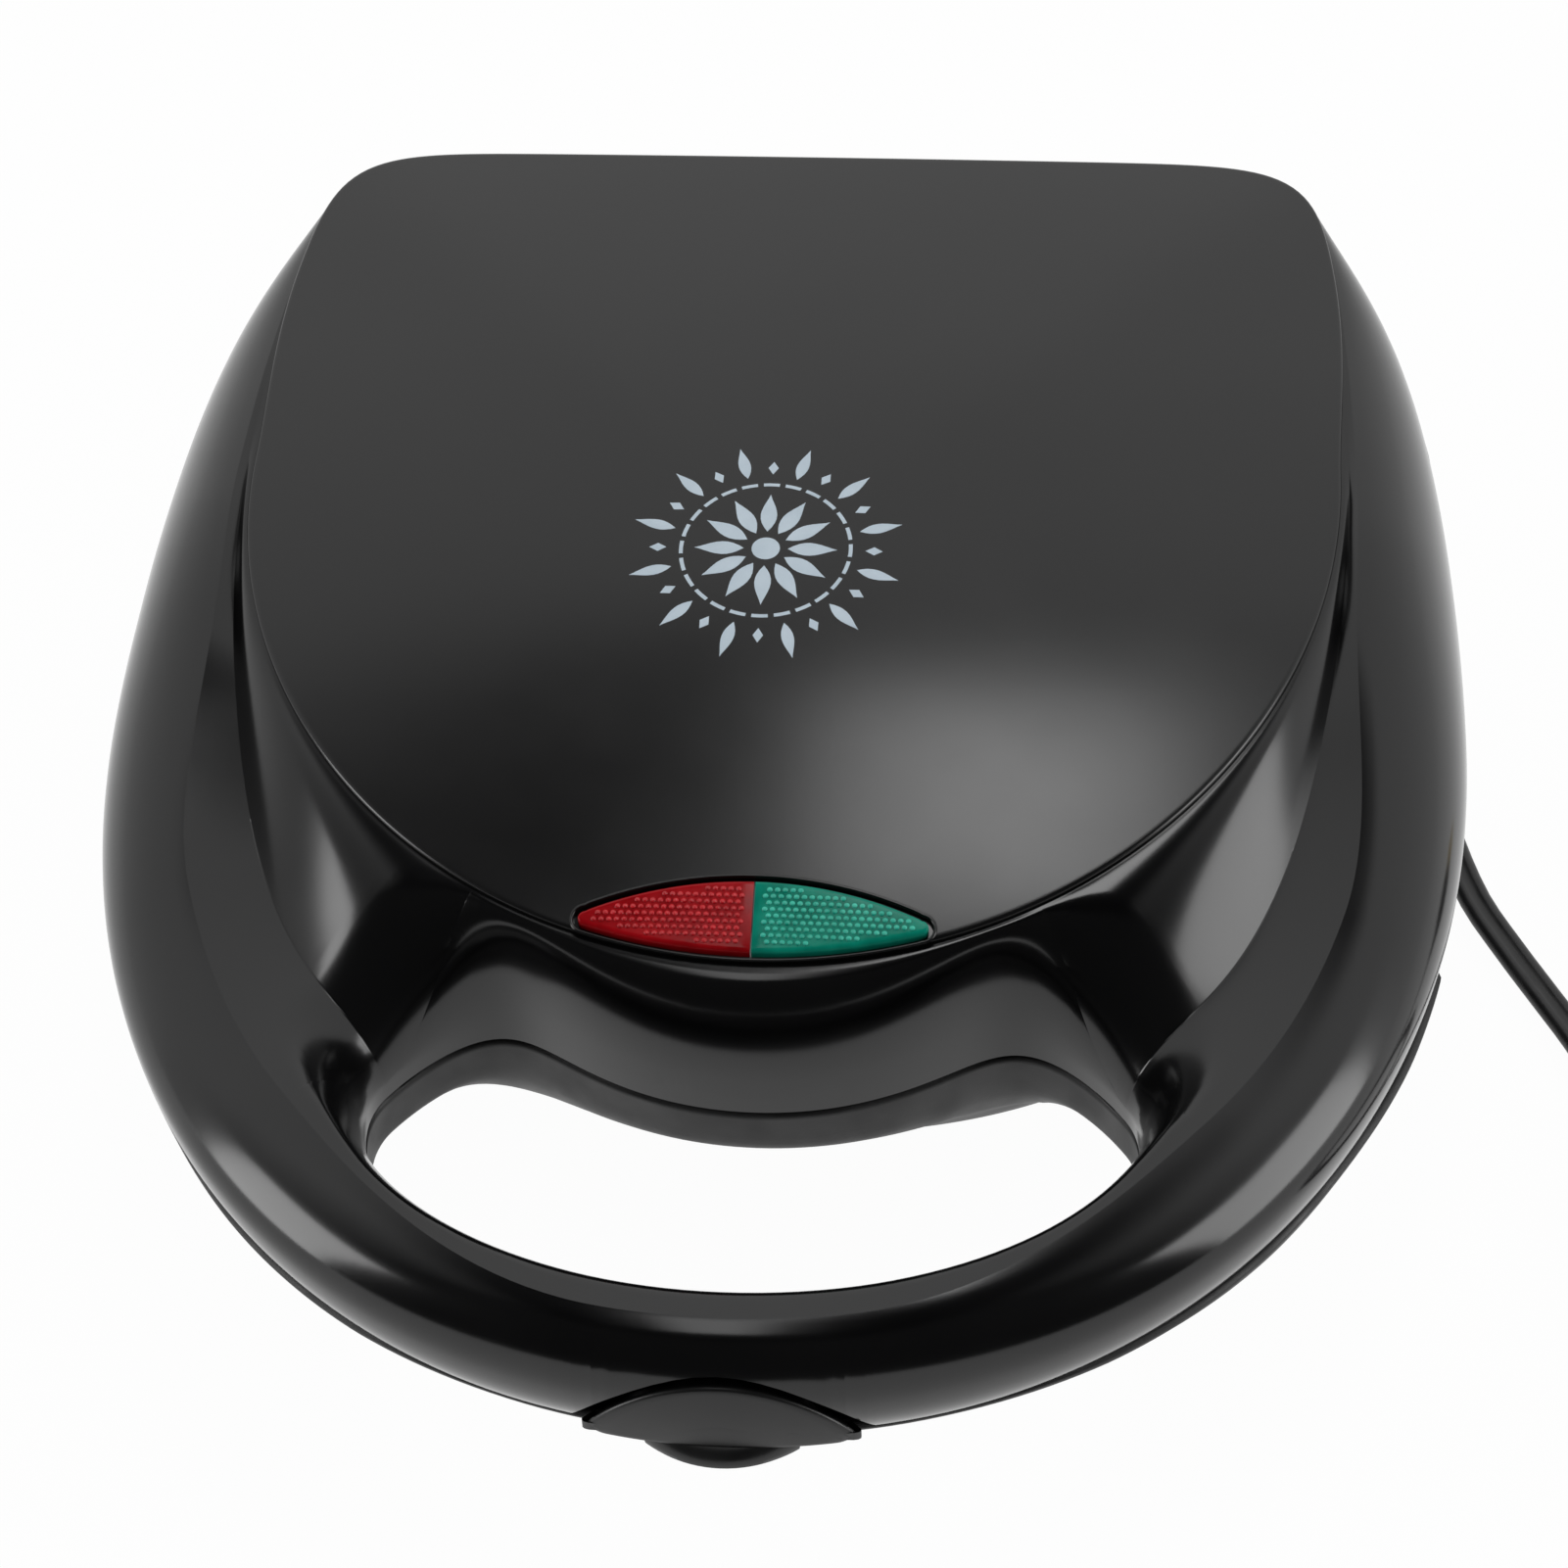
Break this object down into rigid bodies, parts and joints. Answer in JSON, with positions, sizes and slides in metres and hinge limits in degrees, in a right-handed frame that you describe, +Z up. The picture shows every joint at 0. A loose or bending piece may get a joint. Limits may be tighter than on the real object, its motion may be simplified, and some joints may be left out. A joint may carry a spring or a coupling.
{
  "type": "corn dog maker",
  "caption": "Black countertop corn dog maker: hinged lid and base with half-round cooking cavities, looped front handle with a latch, red and green indicator lens, and a mains lead.",
  "frame": {"origin": "on the table under the middle of the object, midway between the latch tab and the rear of the lid", "axes": "+Z up, +Y to the rear (hinge side), -Y to the front (handle and latch), +X to the right as seen from the front"},
  "size_m": [0.3395, 0.2938, 0.0877],
  "materials": {
    "gloss_shell": "black gloss moulding, with a matte top panel on the lid",
    "frame_coat": "satin black",
    "plate_coat": "cast, with a dark non-stick coat",
    "heater_steel": "dull sheathed element",
    "sheet_steel": "bare sheet",
    "screw_steel": "zinc plated",
    "red_lens": "clear red, prismatic",
    "green_lens": "clear green, prismatic",
    "inner_plastic": "moulded",
    "lamp_glass": "clear bulb",
    "matte_plastic": "fine matte",
    "pale_plastic": "heat-resistant moulding",
    "rubber": "soft matte",
    "tie": "plastic strip",
    "brass": "bare contact blades"
  },
  "bodies": {
    "base": {"base_shell": "gloss_shell", "base_frame": "frame_coat", "lower_plate": "plate_coat", "lower_heater": "heater_steel", "lower_heater_clamps": "sheet_steel", "lower_heat_shield": "sheet_steel", "lower_shield_screws": "screw_steel", "lower_plate_screws": "screw_steel", "base_frame_screws": "screw_steel", "hinge_pins": "screw_steel", "thermostat": "sheet_steel", "thermal_fuse": "pale_plastic", "terminal_block": "pale_plastic", "rubber_feet": "rubber", "strain_relief": "rubber", "power_cord": "rubber", "cord_coil": "rubber", "cord_tie": "tie", "plug_body": "rubber", "plug_blades": "brass"},
    "lid": {"lid_shell": "gloss_shell", "lid_frame": "frame_coat", "upper_plate": "plate_coat", "upper_heater": "heater_steel", "upper_heater_clamps": "sheet_steel", "upper_heat_shield": "sheet_steel", "upper_shield_screws": "screw_steel", "upper_plate_screws": "screw_steel", "lid_frame_screws": "screw_steel", "red_lens": "red_lens", "green_lens": "green_lens", "lamp_holder": "inner_plastic", "indicator_lamps": "lamp_glass", "latch_pin": "screw_steel"},
    "latch": {"latch": "matte_plastic"}
  },
  "joints": [
    {"name": "lid_hinge", "type": "hinge", "parent": "base", "child": "lid", "pos_m": [0, 0.1195, 0.044], "axis": [-1, 0, 0], "range_deg": [0, 100]},
    {"name": "latch_pivot", "type": "hinge", "parent": "lid", "child": "latch", "pos_m": [0, -0.1115, 0.05], "axis": [-1, 0, 0], "range_deg": [0, 9], "stiffness_Nm_per_rad": 0.06}
  ]
}
